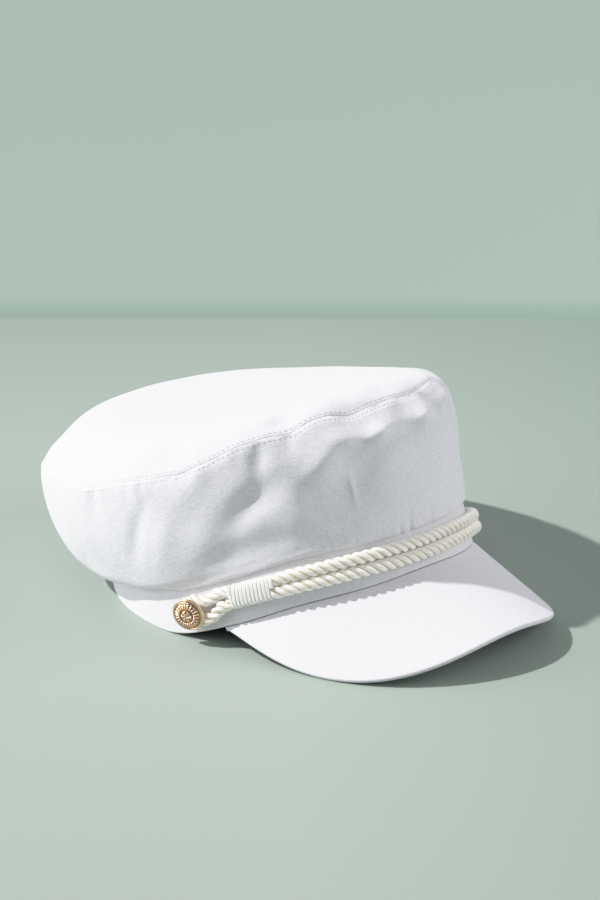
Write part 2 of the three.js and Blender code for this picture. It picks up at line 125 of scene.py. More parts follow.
# size, depth, reach and seed of the small folds that run in from a seam
SIDE_GATHERS = [(5.0, 0.55, 6.0, 11), (2.6, 0.3, 2.5, 12)]
FOOT_GATHERS = [(7.0, 0.5, 6.0, 13)]
TOP_GATHERS = [(5.0, 0.4, 6.0, 21), (2.6, 0.2, 2.5, 22)]
# height, size and seed of each surface's unevenness
SIDE_UNEVEN = [(0.45, 24, 14), (0.16, 10, 15)]
TOP_UNEVEN = [(0.3, 34, 23), (0.1, 13, 24)]
BAND_UNEVEN = [(0.22, 30, 31), (0.08, 12, 32)]
PEAK_UNEVEN = [(0.12, 26, 41)]
BINDING_UNEVEN = [(0.07, 2.0, 51)]
# angle and depth of the puckers just above the band
NOTCHES = [
    (-31, 0.7), (-6, 0.7), (-2, 0.9), (8, 0.9), (19, 0.8), (44, 0.7), (70, 0.6), (-75, 0.5), (-99, 0.5),
]
NOTCH = dict(half_angle=0.9, reach=4.0)
HEM_LINE = dict(height=2.6, half=0.35, depth=0.25)      # the groove of the band's lower stitching
# how deep below the peak's upper face each line of its rounded edge lies, and how far out; the seam
# between the upper and lower cloth is in its middle
PEAK_EDGE = [(0.25, 0.45), (0.7, 0.85), (1.15, 0.9), (1.3, 0.6), (1.45, 0.85), (1.9, 0.8), (2.35, 0.4)]

# The rope's plies: how far each lies out, its half sizes, as shares of the strand's own, and its radius
PLY = dict(count=3, out=0.52, wide=0.48, thick=0.5, radius=1.55, sides=22)
CORD_SIDES = 12                # of the cord that is wound round the rope

# A button's rolled rim, in from its radius and up from its back, and the dome inside it
BUTTON_RIM = [
    (0.8, 0.0), (0.2, 0.2), (0.0, 0.6), (0.05, 1.0), (0.35, 1.35), (0.75, 1.4), (1.05, 1.2), (1.2, 0.95),
]
DOME = dict(reach=0.84, sunk=0.6, flat=0.3)
# The relief on a button: each ring's place and half width as shares of the radius, and its height
RIBS = dict(count=22, sharpness=0.8, place=0.6, half=0.15, rise=0.85, sink=0.2)
PETALS = dict(count=6, sharpness=0.7, place=0.2, half=0.13, rise=0.55, sink=0.1)
GROOVES = [(0.39, 0.035, 0.35), (0.79, 0.03, 0.25)]

# How finely the pieces are divided, round them and from edge to edge
SIDE_GRID = (900, 58)
TOP_GRID = (800, 44)
BAND_GRID = (480, 12)
PEAK_GRID = (281, 44)
ROPE_STEPS = 1200
WINDING_STEPS = 48             # for each turn of the binding
BUTTON_GRID = (240, 72)


def smooth(x):
    t = np.clip(x, 0.0, 1.0)
    return t * t * (3 - 2 * t)


def lerp(a, b, t):
    return a + (b - a) * t


def at(column, degrees):
    """A column's value at each angle: a Catmull-Rom curve through the rows, the same on both sides."""
    values = OUTLINE[:, COLUMNS.index(column)]
    padded = np.concatenate([values[1:2], values, values[-2:-1]])
    place = np.abs((np.asarray(degrees, float) + 180) % 360 - 180) / ROW_STEP
    row = np.minimum(place.astype(int), len(values) - 2)
    t = place - row
    a, b, c, d = (padded[row + k] for k in range(4))
    return b + 0.5 * t * (c - a + t * (2 * a - 5 * b + 4 * c - d + t * (3 * (b - c) + d - a)))


def outward(degrees):
    """The direction away from the head's axis."""
    turn = np.radians(degrees)
    return np.stack([np.sin(turn), -np.cos(turn), np.zeros_like(turn)], axis=-1)


def polar(radius, degrees, height, centre_y=0.0):
    point = outward(degrees) * np.asarray(radius)[..., None]
    return point + np.array([0.0, centre_y + HEAD_Y, 0.0]) + np.asarray(height)[..., None] * UP


def hem_height(degrees):
    return np.maximum(0.0, at("hem_height", degrees))


def on_band(degrees, height, off=0.0):
    """A point on the band's outer face, some height above the hem and some way off the face."""
    lean = at("band_lean", degrees) * height / at("band_height", degrees)
    return polar(at("hem_radius", degrees) - lean + off, degrees, hem_height(degrees) + height)


def relief(mounds, angle, level):
    """The sum of soft mounds and hollows at each place on a surface."""
    total = np.zeros(np.broadcast(angle, level).shape)
    for centre, middle, half_angle, half_level, slant, depth in mounds:
        rise = level - middle
        away = (angle - centre - slant * rise + 180) % 360 - 180
        total += depth * np.exp(-(away / half_angle) ** 2 - (rise / half_level) ** 2)
    return total


def seam(degrees):
    wave = relief([(a, 0, half, 1, 0, depth) for a, half, depth in WAVES], degrees, 0.0)
    return polar(at("seam_radius", degrees), degrees, at("seam_height", degrees) + wave, CROWN_Y)


def plain_side(degrees, level):
    """The crown's side without folds: a cubic curve from the band to the seam."""
    out = outward(degrees)

    def column(name):
        return at(name, degrees)[..., None]
    foot = on_band(degrees, at("band_height", degrees)) + UP * SEAT
    head = seam(degrees)
    low = foot + out * column("puff") - UP * column("sag")
    high = head + out * column("shoulder_out") - UP * column("shoulder_down")
    t = np.asarray(level)[..., None]
    return (1 - t) ** 3 * foot + 3 * t * (1 - t) ** 2 * low + 3 * t * t * (1 - t) * high + t ** 3 * head


def plain_top(degrees, reach):
    """The top panel without dents."""
    rim = seam(degrees)

    def sheet(back):
        return TOP["middle"] - TOP["tilt"] * back + TOP["sweep"] * (back / TOP["sweep_reach"]) ** 2
    rim_back = rim[..., 1] - CROWN_Y - HEAD_Y
    drop = rim[..., 2] - sheet(rim_back)
    square = TOP["square"] + TOP["front_square"] * (1 + np.cos(np.radians(degrees))) / 2
    back = rim_back * reach
    height = sheet(back) + drop * reach ** square
    return np.stack([rim[..., 0] * reach, CROWN_Y + HEAD_Y + back, height], axis=-1)


def normals(surface, angle, level):
    """A surface's normals, from its slopes."""
    step = 0.004
    around = surface(angle + 1, level) - surface(angle - 1, level)
    rise = surface(angle, np.minimum(level + step, 1)) - surface(angle, np.maximum(level - step, 0))
    normal = np.cross(around, rise)
    return normal / np.linalg.norm(normal, axis=-1, keepdims=True)


def lattice(points, size, seed):
    """Smooth noise from -1 to 1, with bumps about as wide as size."""
    count, primes = 4096, (73, 179, 283)
    table = np.random.default_rng(seed).uniform(-1, 1, count)
    place = points / size
    cell = np.floor(place).astype(int)
    part = smooth(place - cell)
    total = np.zeros(points.shape[:-1])
    for corner in np.ndindex(2, 2, 2):
        value = table[(cell + np.array(corner)) @ np.array(primes) % count]
        total += value * np.prod(np.where(np.array(corner) == 1, part, 1 - part), axis=-1)
    return total


def uneven(points, waves):
    """The sum of smooth noises, each of some height, size and seed."""
    return sum(height * lattice(points, size, seed) for height, size, seed in waves)


def swell(distance, height, reach):
    """Cloth that stands proud near a seam: nothing at the seam, all of height at reach."""
    return height * distance / reach * np.exp(1 - distance / reach)


def turned_in(distance, radius=EDGE):
    """How far a rounded cloth edge lies below its face, some distance from the seam."""
    return radius * (1 - np.sqrt(1 - np.clip(1 - distance / radius, 0, 1) ** 2))


def gathers(degrees, distance, folds):
    """Small folds that run in from a seam and die out; they start just past the seam itself."""
    start = 1.5
    ring = outward(degrees) * CROWN_RING
    total = sum(depth * lattice(ring, size, seed) * np.exp(-distance / reach)
                for size, depth, reach, seed in folds)
    return total * smooth(distance / start)


def rows_of(surface, angle, foot, head, middle):
    """Levels for the points of each section, with their distances along it from its foot and its head.
    Points lie at the set distances foot and head from its ends, and middle of them evenly between."""
    fine = np.linspace(0, 1, 240)              # steps that each section is measured in
    points = surface(*np.meshgrid(angle, fine, indexing="ij"))
    steps = np.linalg.norm(np.diff(points, axis=1), axis=-1)
    length = np.concatenate([np.zeros((len(angle), 1)), np.cumsum(steps, axis=1)], axis=1)
    whole = length[:, -1:]
    even = lerp(foot[-1], whole - head[-1], np.linspace(0, 1, middle + 2)[1:-1])
    first = np.broadcast_to(foot, (len(angle), len(foot)))
    place = np.concatenate([first, even, whole - np.array(head)[::-1]], axis=1)
    level = np.array([np.interp(p, s, fine) for p, s in zip(place, length)])
    return level, place, whole - place


def round_head(turns):
    return np.linspace(-180, 180, turns, endpoint=False)


def make_piece(name, points, faces, material, slot, *nodes, uv=None, period=None):
    """A Blender mesh in the cap's frame, riding on its body. uv and period are in millimetres; period is
    where a ring's u starts again."""
    mesh = bpy.data.meshes.new(name)
    mesh.from_pydata((np.asarray(points) * MM).tolist(), [], [list(face) for face in faces])
    mesh.polygons.foreach_set("use_smooth", np.ones(len(mesh.polygons), bool))
    if uv is not None:
        layer = mesh.uv_layers.new(name="cloth")
        corner = np.zeros(len(mesh.loops), np.int32)
        mesh.loops.foreach_get("vertex_index", corner)
        place = np.asarray(uv, float)[corner]
        if period is not None:
            whole = place.reshape(-1, 4, 2)
            wraps = np.ptp(whole[..., 0], axis=1) > period / 2
            whole[..., 0] += period * (wraps[:, None] & (whole[..., 0] < 0))
        layer.data.foreach_set("uv", (place * MM).astype(np.float32).ravel())
    mesh.materials.append(material)
    mesh.update()
    piece = bpy.data.objects.new(name, mesh)
    bpy.context.scene.collection.objects.link(piece)
    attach(piece, "root")
    if nodes:
        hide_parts(*nodes)
    return piece


def loft(sections, ring=True, closed=True):
    """Quads through sections of the same number of points; ring joins the last section to the first."""
    rows, size = sections.shape[:2]
    index = np.arange(rows * size).reshape(rows, size)
    here = index if ring else index[:-1]
    there = np.roll(index, -1, axis=0) if ring else index[1:]
    if closed:
        corners = here, np.roll(here, -1, axis=1), np.roll(there, -1, axis=1), there
    else:
        corners = here[:, :-1], here[:, 1:], there[:, 1:], there[:, :-1]
    return np.stack(corners, axis=-1).reshape(-1, 4)


def tubes(middle, first, second, wide, thick, sides, ring=False):
    """Points and faces of tubes along lines, one for each row of middle, with flat ends or joined in
    rings. first and second are the axes of each section, wide and thick its half sizes along them."""
    part = np.linspace(0, 2 * np.pi, sides, endpoint=False)
    points = (middle[..., None, :] + first[..., None, :] * (wide[..., None] * np.cos(part))[..., None]
              + second[..., None, :] * (thick[..., None] * np.sin(part))[..., None])
    index = np.arange(points.size // 3).reshape(points.shape[:3])
    here = index if ring else index[:, :-1]
    there = np.roll(index, -1, axis=1) if ring else index[:, 1:]
    corners = here, np.roll(here, -1, axis=2), np.roll(there, -1, axis=2), there
    faces = np.stack(corners, axis=-1).reshape(-1, 4).tolist()
    if not ring:
        faces += index[:, 0, ::-1].tolist() + index[:, -1].tolist()
    return points.reshape(-1, 3), faces


def cord_uv(count, sides, radius):
    """For a cord's points: how far each faces out of it, which sets the painted shade of its grooves,
    and where it lies round its own tube.
    """
    turn = np.arange(count) % sides * 2 * np.pi / sides
    return np.stack([np.cos(turn), turn * radius], axis=-1)


def unit(vectors):
    return vectors / np.linalg.norm(vectors, axis=-1, keepdims=True)


def square_to(vectors, tangent):
    return unit(vectors - tangent * np.sum(vectors * tangent, axis=-1, keepdims=True))


# Materials

def new_material(name):
    material = bpy.data.materials.new(name)
    material.use_nodes = True
    nodes, links = material.node_tree.nodes, material.node_tree.links
    return material, nodes, links, nodes["Principled BSDF"]


def add_node(nodes, kind, **values):
    node = nodes.new(kind)
    for key, value in values.items():
        if key in node.inputs:
            node.inputs[key].default_value = value
        else:
            setattr(node, key, value)
    return node


def math_node(nodes, links, operation, *values):
    node = add_node(nodes, "ShaderNodeMath", operation=operation)
    for socket, value in zip(node.inputs, values):
        if isinstance(value, (int, float)):
            socket.default_value = value
        else:
            links.new(value, socket)
    return node.outputs[0]


def stretched_noise(nodes, links, vector, scale, detail=2.0, roughness=0.6):
    """Noise over a vector that is scaled along each axis, in bumps per metre."""
    stretch = add_node(nodes, "ShaderNodeVectorMath", operation="MULTIPLY")
    stretch.inputs[1].default_value = scale
    links.new(vector, stretch.inputs[0])
    noise = add_node(nodes, "ShaderNodeTexNoise", Scale=1.0, Detail=detail, Roughness=roughness)
    links.new(stretch.outputs[0], noise.inputs["Vector"])
    return noise.outputs["Fac"]


def two_tone(nodes, links, fac, dark, light, low, high):
    """A colour between dark and light as fac goes from low to high."""
    span = add_node(nodes, "ShaderNodeMapRange", clamp=True)
    span.inputs["From Min"].default_value = low
    span.inputs["From Max"].default_value = high
    links.new(fac, span.inputs["Value"])
    mix = add_node(nodes, "ShaderNodeMix", data_type="RGBA")
    for socket, colour in ((mix.inputs[6], dark), (mix.inputs[7], light)):
        if isinstance(colour, tuple):
            socket.default_value = (*colour, 1)
        else:
            links.new(colour, socket)
    links.new(span.outputs[0], mix.inputs[0])
    return mix.outputs[2]


def bumped(nodes, links, height, strength, distance, before=None):
    bump = add_node(nodes, "ShaderNodeBump", Strength=strength, Distance=distance)
    links.new(height, bump.inputs["Height"])
    if before is not None:
        links.new(before, bump.inputs["Normal"])
    return bump.outputs[0]


def cotton_material(name, colour, grain=1.0):
    """Washed plain-weave cotton: crossing threads with uneven slubs, and faint creases. grain is how
    much darker the cloth is between its threads."""
    material, nodes, links, shader = new_material(name)
    uv = add_node(nodes, "ShaderNodeUVMap", uv_map="cloth").outputs[0]
    across, along, creases = 1150.0, 330.0, 90.0      # of each in a metre
    weft = stretched_noise(nodes, links, uv, (across, along, 1))
    warp = stretched_noise(nodes, links, uv, (along, across, 1))
    threads = math_node(nodes, links, "ADD", weft, warp)
    crease = stretched_noise(nodes, links, uv, (creases, creases, 1), 4.0, 0.55)
    weave = bumped(nodes, links, threads, 0.5, 0.3 * MM)
    links.new(bumped(nodes, links, crease, 0.3, 1.0 * MM, weave), shader.inputs["Normal"])
    shade = tuple(c * (1 - 0.18 * grain) for c in colour)
    links.new(two_tone(nodes, links, threads, shade, colour, 0.6, 1.3), shader.inputs["Base Color"])
    shader.inputs["Roughness"].default_value = 0.92
    shader.inputs["Specular IOR Level"].default_value = 0.2
    shader.inputs["Sheen Weight"].default_value = 0.15
    shader.inputs["Sheen Roughness"].default_value = 0.6
    return material


def cord_material(name, colour, painted_groove_shade, roughness, yarn, painted_glow=0.0):
    """Silky yarns that run along a ply. u tells how far a point faces out of the cord: the grooves
    between plies get painted shade, and so do thin lines between the yarns. yarn is how wide each yarn
    is, in millimetres, and glow is painted light, an emission that brightens the whole cord."""
    material, nodes, links, shader = new_material(name)
    split = add_node(nodes, "ShaderNodeSeparateXYZ")
    links.new(add_node(nodes, "ShaderNodeUVMap", uv_map="cloth").outputs[0], split.inputs[0])
    turn = math_node(nodes, links, "MULTIPLY", split.outputs[1], math.pi / (yarn * MM))
    ridge = math_node(nodes, links, "ABSOLUTE", math_node(nodes, links, "SINE", turn))
    links.new(bumped(nodes, links, ridge, 0.8, 0.25 * MM), shader.inputs["Normal"])
    # painted shade: thin darker lines between the yarns
    lines = two_tone(nodes, links, ridge, tuple(0.6 * c for c in colour), colour, 0.0, 0.6)
    # painted shade: the colour darkens to the groove colour where a point faces into the cord, between
    # the plies
    tone = two_tone(nodes, links, split.outputs[0], painted_groove_shade, lines, -0.5 * MM, 0.55 * MM)
    links.new(tone, shader.inputs["Base Color"])
    # painted light: the cord glows with its own colour
    links.new(tone, shader.inputs["Emission Color"])
    shader.inputs["Emission Strength"].default_value = painted_glow
    shader.inputs["Roughness"].default_value = roughness
    shader.inputs["Specular IOR Level"].default_value = 0.6
    shader.inputs["Sheen Weight"].default_value = 0.3
    shader.inputs["Sheen Roughness"].default_value = 0.4
    return material


def gilt_material():
    """Polished gilt with painted shade in the hollows of its relief; u is the height of the relief."""
    material, nodes, links, shader = new_material("polished_gilt")
    split = add_node(nodes, "ShaderNodeSeparateXYZ")
    links.new(add_node(nodes, "ShaderNodeUVMap", uv_map="cloth").outputs[0], split.inputs[0])
    place = add_node(nodes, "ShaderNodeTexCoord").outputs["Object"]
    clouds = 900               # in a metre
    cloud = stretched_noise(nodes, links, place, (clouds, clouds, clouds), 3.0)
    rough = add_node(nodes, "ShaderNodeMapRange")
    rough.inputs["To Min"].default_value = 0.12
    rough.inputs["To Max"].default_value = 0.28
    links.new(cloud, rough.inputs["Value"])
    links.new(rough.outputs[0], shader.inputs["Roughness"])
    # painted shade: dark brown in the relief's hollows, bright gold on its raised parts
    painted_hollow_shade, raised = (0.26, 0.11, 0.05), (1.0, 0.74, 0.53)
    tone = two_tone(nodes, links, split.outputs[0], painted_hollow_shade, raised, -0.3 * MM, 0.35 * MM)
    links.new(tone, shader.inputs["Base Color"])
    shader.inputs["Metallic"].default_value = 1.0
    return material


# Pieces

# How far from the top seam and from the band the cloth's points lie
NEAR_SEAM = [0.04, 0.12, 0.25, 0.42, 0.6, 0.9, 1.3, 1.8, 2.3, 2.9, 3.7, 4.7, 6.0, 7.5, 9.5]
NEAR_BAND = [0.0, 0.08, 0.2, 0.38, 0.6, 1.0, 1.6, 2.4, 3.4, 4.6, 6.0]


def stack(outer, inner):
    """One closed section for each angle: up the outer face and back down the inner one."""
    return np.concatenate([outer, inner[:, ::-1]], axis=1)


def side_face(angle, level, up, down):
    """The side's outer face with its folds, gathers and turned edges, and its normals before them."""
    plain, normal = plain_side(angle, level), normals(plain_side, angle, level)
    lift = relief(FOLDS, angle, level) * smooth(level / 0.1) * smooth((1 - level) / 0.06)
    lift += swell(down, *SHOULDER) + swell(up, *FOOT)
    lift += gathers(angle, down, SIDE_GATHERS) + gathers(angle, up, FOOT_GATHERS)
    for centre, depth in NOTCHES:
        lift -= depth * np.exp(-((angle - centre) / NOTCH["half_angle"]) ** 2 - up / NOTCH["reach"])
    lift += smooth(np.minimum(up, down) / SEAM_CALM) * uneven(plain, SIDE_UNEVEN)
    lift += LIP["out"] * smooth(1 - up / LIP["blend"]) - turned_in(down) - turned_in(up)
    return plain + normal * lift[..., None], normal


def crown_side(material, thread):
    columns, rows = SIDE_GRID
    around = round_head(columns)
    level, up, down = rows_of(plain_side, around, NEAR_BAND, NEAR_SEAM, rows)
    angle = np.broadcast_to(around[:, None], level.shape)
    outer, normal = side_face(angle, level, up, down)
    row = -1 - NEAR_SEAM.index(STITCH["from_seam"])
    stitches("side_stitching", outer[:, row], normal[:, row], thread)

    # the inner face lies square below the outer one, and level with it at the two seams
    inner_rows = np.linspace(0, level.shape[1] - 1, 9).astype(int)
    edge = np.minimum(level, 1 - level)[:, inner_rows]
    free = smooth(edge / 0.12)[..., None]
    through = unit(-normal[:, inner_rows] * free - outward(angle[:, inner_rows]) * (1 - free))
    inner = outer[:, inner_rows] + through * CROWN_WALL
    foot = plain_side(around, np.zeros_like(around))
    inner[:, 0] = foot - outward(around) * CROWN_WALL
    fold = foot + outward(around) * LIP["turned"]
    outer = outer - UP * (LIP["down"] * smooth(1 - up / LIP["reach"]))[..., None]
    uv = np.stack([np.radians(angle) * CROWN_RING, up], axis=-1)
    uv = np.concatenate([stack(uv, uv[:, inner_rows]), uv[:, :1]], axis=1)
    sections = np.concatenate([stack(outer, inner), fold[:, None]], axis=1)
    make_piece("crown_side_cloth", sections.reshape(-1, 3), loft(sections), material, "crown_cotton",
               "crown_side", uv=uv.reshape(-1, 2), period=2 * np.pi * CROWN_RING)


def crown_top(material, thread):
    columns, rows = TOP_GRID
    around = round_head(columns)
    reach, _, down = rows_of(plain_top, around, [0.0], NEAR_SEAM, rows)
    angle = np.broadcast_to(around[:, None], reach.shape)
    off_middle = np.maximum(reach, 0.02)       # at the very middle no slope can be told
    plain, normal = plain_top(angle, reach), -normals(plain_top, angle, off_middle)
    lift = relief(DENTS, angle, reach) * smooth((1 - reach) / 0.05)
    lift += gathers(angle, down, TOP_GATHERS)
    lift += smooth(down / SEAM_CALM) * uneven(plain, TOP_UNEVEN)
    outer = plain + normal * (lift - turned_in(down))[..., None]
    row = -1 - NEAR_SEAM.index(STITCH["from_seam"])
    stitches("top_stitching", outer[:, row], normal[:, row], thread)

    # the inner face needs fewer rows, closest where the cloth turns down
    inner_rows = np.array([0, 14, 28, 40, 46, 52, reach.shape[1] - 1])
    inner = outer[:, inner_rows] - UP * CROWN_WALL
    sections = stack(outer, inner)
    piece = make_piece("crown_top_cloth", sections.reshape(-1, 3), loft(sections, closed=False),
                       material, "crown_cotton", "crown_top", uv=sections[..., :2].reshape(-1, 2))
    weld(piece)


def weld(piece):
    """Joins points that lie together, and drops the faces that this closes."""
    nearest = 1e-7
    made = bmesh.new()
    made.from_mesh(piece.data)
    bmesh.ops.remove_doubles(made, verts=made.verts, dist=nearest)
    made.to_mesh(piece.data)
    made.free()


def stitches(name, line, normal, material):
    """A row of stitches along a closed line on the cloth; each dips into it at both ends."""
    closed = np.concatenate([line, line[:1]])
    length = np.concatenate([[0], np.cumsum(np.linalg.norm(np.diff(closed, axis=0), axis=1))])
    count = round(length[-1] / STITCH["pitch"])
    share = np.linspace(0, 1, 7)
    place = np.arange(count)[:, None] * length[-1] / count + share * STITCH["length"]
    place %= length[-1]

    def along(values):
        closed_values = np.concatenate([values, values[:1]])
        return np.stack([np.interp(place, length, closed_values[:, k]) for k in range(3)], axis=-1)
    up = unit(along(normal))
    arch = np.sin(np.pi * share)
    middle = along(line) + up * (STITCH["rise"] * arch - STITCH["sunk"])[None, :, None]
    tangent = unit(np.gradient(middle, axis=1))
    up = square_to(up, tangent)
    size = np.broadcast_to(STITCH["radius"] * lerp(STITCH["thin"], 1, arch), place.shape)
    points, faces = tubes(middle, up, np.cross(tangent, up), size, size, STITCH["sides"])
    uv = cord_uv(len(points), STITCH["sides"], STITCH["radius"])
    make_piece(name, points, faces, material, "crown_cotton", uv=uv)


def band(material):
    columns, rows = BAND_GRID
    near_edge = np.array([0.0, 0.12, 0.3, 0.5, 0.7, 1.2])
    angle = round_head(columns)
    height = at("band_height", angle)[:, None]
    middle = lerp(near_edge[-1], height - near_edge[-1], np.linspace(0, 1, rows + 2)[1:-1])
    first = np.broadcast_to(near_edge, (columns, len(near_edge)))
    level = np.concatenate([first, middle, height - near_edge[::-1]], axis=1)
    around = np.broadcast_to(angle[:, None], level.shape)
    edge = np.minimum(level, height - level)
    off = smooth(edge / 3) * uneven(on_band(around, level), BAND_UNEVEN) - turned_in(edge, BAND_EDGE)
    off -= HEM_LINE["depth"] * np.exp(-((level - HEM_LINE["height"]) / HEM_LINE["half"]) ** 2)
    inner_step = 3
    sections = stack(on_band(around, level, off), on_band(around, level, -BAND_WALL)[:, ::inner_step])
    uv = np.stack([np.radians(around) * BAND_RING, level], axis=-1)
    uv = stack(uv, uv[:, ::inner_step])
    make_piece("band_cloth", sections.reshape(-1, 3), loft(sections), material, "band_cotton",
               "band", uv=uv.reshape(-1, 2), period=2 * np.pi * BAND_RING)


def peak(material):
    def upper(angle, reach):
        share = angle / PEAK["half_angle"]
        fullness = np.maximum(0, 1 - np.abs(share) ** PEAK["bluntness"]) ** PEAK["rounding"]
        length = np.maximum(PEAK["min_length"], PEAK["length"] * fullness)
        slope = PEAK["slope"] + PEAK["corner_slope"] * share ** 2 - PEAK["corner_ease"] * share ** 4
        along = outward(PEAK["turn"] * angle) * np.cos(slope)[..., None] - UP * np.sin(slope)[..., None]
        return on_band(angle, -SEAT) + along * (length * reach)[..., None]

    def within(angle, reach):
        """Just inside the peak's ends, where its slopes are still finite."""
        return upper(angle * 0.999, reach)
    columns, rows = PEAK_GRID
    spread = PEAK["half_angle"] * np.sin(np.linspace(-0.5, 0.5, columns) * np.pi)
    angle, reach = np.meshgrid(spread, 1 - np.linspace(1, 0, rows) ** 1.6, indexing="ij")
    top, below = upper(angle, reach), normals(within, angle, reach)
    top = top - below * (uneven(top, PEAK_UNEVEN) * smooth((1 - reach) / 0.1))[..., None]
    depth, bulge = np.array(PEAK_EDGE).T[:, None, :, None]
    edge = top[:, -1:] + below[:, -1:] * depth + unit(top[:, -1:] - top[:, -2:-1]) * bulge
    lower = (top + below * PEAK_THICKNESS)[:, ::-1]
    root = on_band(angle[:, :1], -SEAT, SEAT - BAND_WALL)
    deep = on_band(angle[:, :1], -SEAT - PEAK_THICKNESS, SEAT - BAND_WALL)
    sections = np.concatenate([root, top, edge, lower, deep], axis=1)
    size = sections.shape[1]
    ends = np.arange(size)
    faces = loft(sections, ring=False).tolist()
    faces += [ends.tolist(), (ends[::-1] + (columns - 1) * size).tolist()]
    make_piece("peak_cloth", sections.reshape(-1, 3), faces, material, "peak_cotton", "peak",
               uv=sections[..., :2].reshape(-1, 2))


def to_button(degrees):
    start = BINDING["end"] + BINDING["mouth"]
    way = (np.abs(degrees) - start) / (BUTTON["angle"] - start)
    return np.sin(np.clip(way, 0, 1) * np.pi / 2)


def strand(degrees):
    """The doubled rope at each angle: its strands' half width and half thickness, how far each lies from
    the middle line, and how far that line stands off the band."""
    edge = np.minimum(np.abs(degrees) - BINDING["start"], BINDING["end"] - np.abs(degrees))
    bound = smooth(edge / BINDING["inside"])
    free = lerp(ROPE["radius"], ROPE["loop_radius"], to_button(degrees))
    wide = lerp(free, ROPE["bound_wide"], bound)
    thick = lerp(free, ROPE["bound_thick"], bound)
    offset = lerp(ROPE["spacing"] / 2, ROPE["bound_wide"], bound)
    offset = offset + (LOOP_RADIUS - ROPE["spacing"] / 2) * to_button(degrees)
    fade = smooth(degrees / PRESSED["over"]) * smooth((PRESSED["until"] - degrees) / PRESSED["fade"])
    flat = 1 - PRESSED["share"] * fade
    return wide, thick * flat, offset, ROPE["radius"] * flat + ROPE["stand_off"]


def button_level(degrees):
    return BUTTON["height"] + hem_height(BUTTON["angle"]) - hem_height(degrees)


def rope_middle(degrees):
    line = at("rope_height", np.minimum(np.abs(degrees), BINDING["end"]))
    line = line - ROPE["left_drop"] * smooth(degrees / BINDING["start"])
    return lerp(line, button_level(degrees), to_button(degrees))


def by_rope(degrees, across, off):
    """A point beside the rope's middle line, some way square across it and some way off the band."""
    step = 1.0

    def level(angle):
        return hem_height(angle) + rope_middle(angle)
    run = 2 * step * np.radians(1) * at("hem_radius", degrees)
    slope = (level(degrees + step) - level(degrees - step)) / run
    return on_band(degrees, rope_middle(degrees) + across * np.hypot(1, slope), off)


def rope_path():
    """The closed loop's middle line: across above, round the left button, back below and round the
    right one."""
    run = np.linspace(-BUTTON["angle"], BUTTON["angle"], 241)
    _, _, offset, off = strand(run)
    half_turn = np.linspace(0, np.pi, 17)[1:-1]
    reach = 0.8 * LOOP_RADIUS                  # the turn is tighter than a half circle

    def round_button(side):
        turn = np.degrees(reach * np.sin(half_turn) / at("hem_radius", BUTTON["angle"]))
        degrees = side * (BUTTON["angle"] + turn)
        height = button_level(degrees) + side * LOOP_RADIUS * np.cos(half_turn)
        return on_band(degrees, height, ROPE["radius"] + ROPE["stand_off"])
    return np.concatenate([by_rope(run, offset, off), round_button(1),
                           by_rope(run, -offset, off)[::-1], round_button(-1)])


def resample(path, count):
    """Even steps along a closed line, softened a little, and its length."""
    closed = np.concatenate([path, path[:1]])
    length = np.concatenate([[0], np.cumsum(np.linalg.norm(np.diff(closed, axis=0), axis=1))])
    places = np.linspace(0, length[-1], count, endpoint=False)
    even = np.stack([np.interp(places, length, closed[:, k]) for k in range(3)], axis=-1)
    for _ in range(4):
        even = (np.roll(even, 1, axis=0) + 2 * even + np.roll(even, -1, axis=0)) / 4
    return even, length[-1]


def rope(material):
    """The three-ply cord, laid in one closed loop and squeezed where it turns round a button."""
    plies, sides, count = PLY["count"], PLY["sides"], ROPE_STEPS
    path, length = resample(rope_path(), count)
    tangent = unit(np.roll(path, -1, axis=0) - np.roll(path, 1, axis=0))
    degrees = np.degrees(np.arctan2(path[:, 0], -(path[:, 1] - HEAD_Y)))
    out = square_to(outward(degrees), tangent)
    across = np.cross(tangent, out)
    squeezed = 1 - 0.4 * smooth((np.abs(degrees) - BUTTON["angle"] + 0.5) / 2.5)
    wide, thick = (size * squeezed for size in strand(degrees)[:2])
    spin = 2 * np.pi * round(length / ROPE["lay"]) * np.arange(count) / count
    middles, radials, arounds, sizes = [], [], [], []
    for ply in range(plies):
        phase = (spin + 2 * np.pi * ply / plies)[:, None]
        radial = out * np.cos(phase) * thick[:, None] + across * np.sin(phase) * wide[:, None]
        middles.append(path + radial * PLY["out"])
        sizes.append(np.linalg.norm(radial, axis=1))
        radials.append(unit(radial))
        arounds.append(np.cross(tangent, radials[-1]))
    middle, radial, around = np.array(middles), np.array(radials), np.array(arounds)
    size = np.array(sizes)
    wide, thick = size * PLY["wide"], size * PLY["thick"]
    points, faces = tubes(middle, radial, around, wide, thick, sides, ring=True)
    uv = cord_uv(len(points), sides, PLY["radius"])
    make_piece("rope_cord", points, faces, material, "rope", "rope_loop", uv=uv)


